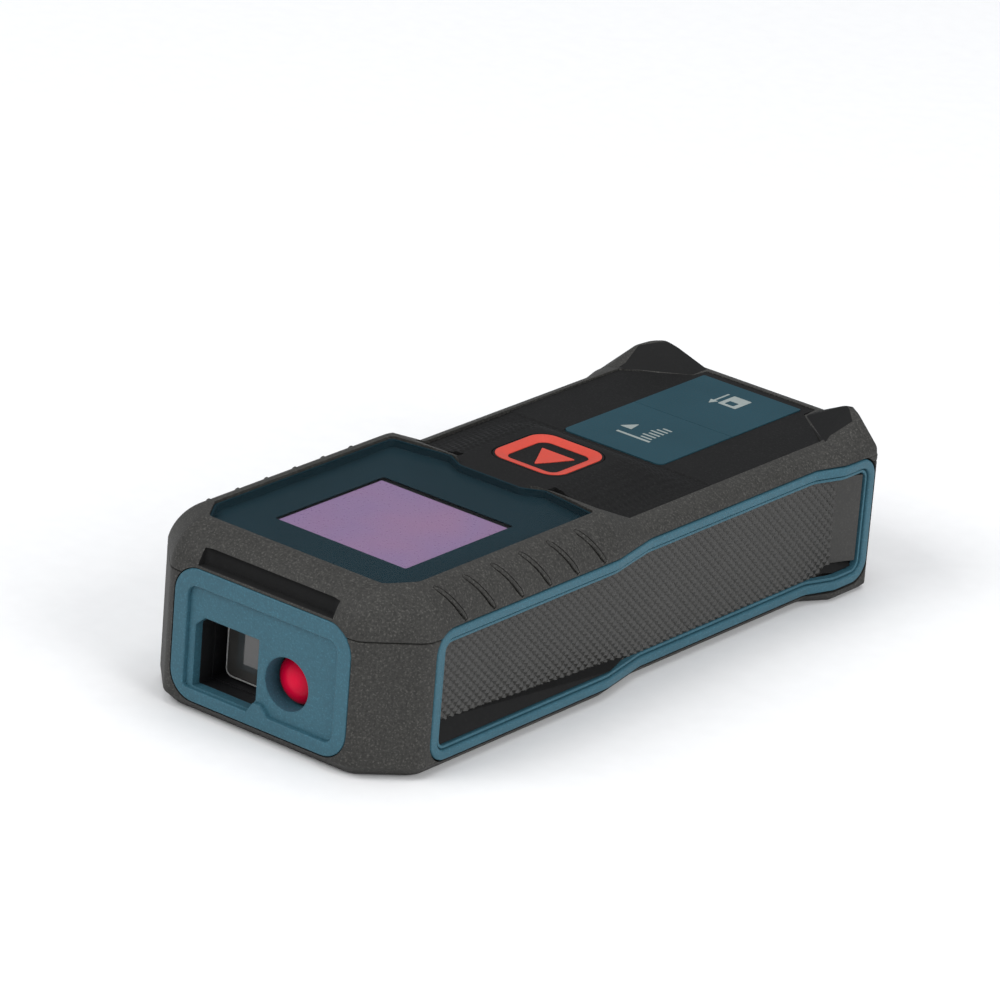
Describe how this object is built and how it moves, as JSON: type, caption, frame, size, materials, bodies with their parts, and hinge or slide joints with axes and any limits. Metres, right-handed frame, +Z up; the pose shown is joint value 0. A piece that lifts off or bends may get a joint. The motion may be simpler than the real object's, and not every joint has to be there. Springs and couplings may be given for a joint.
{
  "type": "laser distance meter",
  "caption": "Pocket laser distance meter: waisted two-shell housing with side grips, a display head, a keypad with sprung buttons, nose optics and a hinged battery door underneath.",
  "frame": {"origin": "middle of the underside's bounding box, on the surface the meter lies on", "axes": "+Y from the nose, which sends the beam along -Y, to the tail; +Z up through the display; +X to the right of someone looking along +Y"},
  "size_m": [0.0432, 0.105, 0.0242],
  "materials": {
    "shell_plastic": "dark warm grey moulded plastic with a fine spark-eroded grain",
    "grip_plastic": "dark grey moulded plastic with a fine diamond knurl",
    "teal_plastic": "blue-green moulded plastic, fine satin grain",
    "label_teal": "dark blue-green printed silicone, matt",
    "display_glass": "clear hard-coated window, dark blue-green print round the display on its back",
    "lcd_cell": "liquid crystal cell, unlit, violet polariser sheen",
    "light_plate": "clear light guide with a white back",
    "white_plastic": "white moulded plastic",
    "zebra_rubber": "elastomer contact strip, pale and dark layers",
    "black_rubber": "black silicone, matt",
    "orange_plastic": "orange-red moulded inlay, satin",
    "spring_steel": "nickel-plated spring steel",
    "circuit_board": "green solder mask on fibreglass laminate",
    "chip_black": "black moulding compound",
    "carrier_black": "black glass-filled optical-grade plastic",
    "lens_clear": "clear moulded lens",
    "detector_can": "gilded detector can",
    "cable_film": "amber polyimide film",
    "brass": "turned brass, fine lathe lines",
    "red_lens": "deep red domed filter lens",
    "battery_jacket": "plain silver-grey jacket over a steel can",
    "screw_steel": "zinc-plated steel, dulled",
    "seal_rubber": "dark grey foamed seal"
  },
  "bodies": {
    "housing": {"upper_shell": "shell_plastic", "lower_shell": "shell_plastic", "grip_panel_left": "grip_plastic", "grip_panel_right": "grip_plastic", "nose_panel": "teal_plastic", "side_trim_left": "teal_plastic", "side_trim_right": "teal_plastic", "display_window": "display_glass", "lcd_module": "lcd_cell", "lcd_backlight": "light_plate", "lcd_holder": "white_plastic", "zebra_strip": "zebra_rubber", "keypad_mat": "black_rubber", "measure_switch": "spring_steel", "function_switch": "spring_steel", "reference_switch": "spring_steel", "main_board": "circuit_board", "detector_board": "circuit_board", "main_chip": "chip_black", "buzzer": "chip_black", "optics_carrier": "carrier_black", "receiver_lens": "lens_clear", "photodiode": "detector_can", "detector_cable": "cable_film", "laser_module": "brass", "laser_window": "red_lens", "battery_1": "battery_jacket", "battery_2": "battery_jacket", "battery_spring_1": "spring_steel", "battery_spring_2": "spring_steel", "contact_negative": "spring_steel", "contact_positive": "spring_steel", "contact_bridge": "spring_steel", "housing_screw_1": "screw_steel", "housing_screw_2": "screw_steel", "housing_screw_3": "screw_steel", "housing_screw_4": "screw_steel", "housing_seal": "seal_rubber"},
    "measure_button": {"measure_button": "black_rubber", "measure_ring": "orange_plastic", "measure_arrow": "orange_plastic"},
    "function_button": {"function_button": "label_teal"},
    "reference_button": {"reference_button": "label_teal"},
    "battery_door": {"battery_door": "shell_plastic"}
  },
  "joints": [
    {"name": "measure_press", "type": "slide", "parent": "housing", "child": "measure_button", "axis": [0, 0, -1], "range_m": [0, 0.0006], "stiffness_N_per_m": 4000},
    {"name": "function_press", "type": "slide", "parent": "housing", "child": "function_button", "axis": [0, 0, -1], "range_m": [0, 0.0004], "stiffness_N_per_m": 4000},
    {"name": "reference_press", "type": "slide", "parent": "housing", "child": "reference_button", "axis": [0, 0, -1], "range_m": [0, 0.0004], "stiffness_N_per_m": 4000},
    {"name": "battery_door_hinge", "type": "hinge", "parent": "housing", "child": "battery_door", "pos_m": [0, 0.001, 0.001], "axis": [-1, 0, 0], "range_deg": [0, 100]}
  ]
}
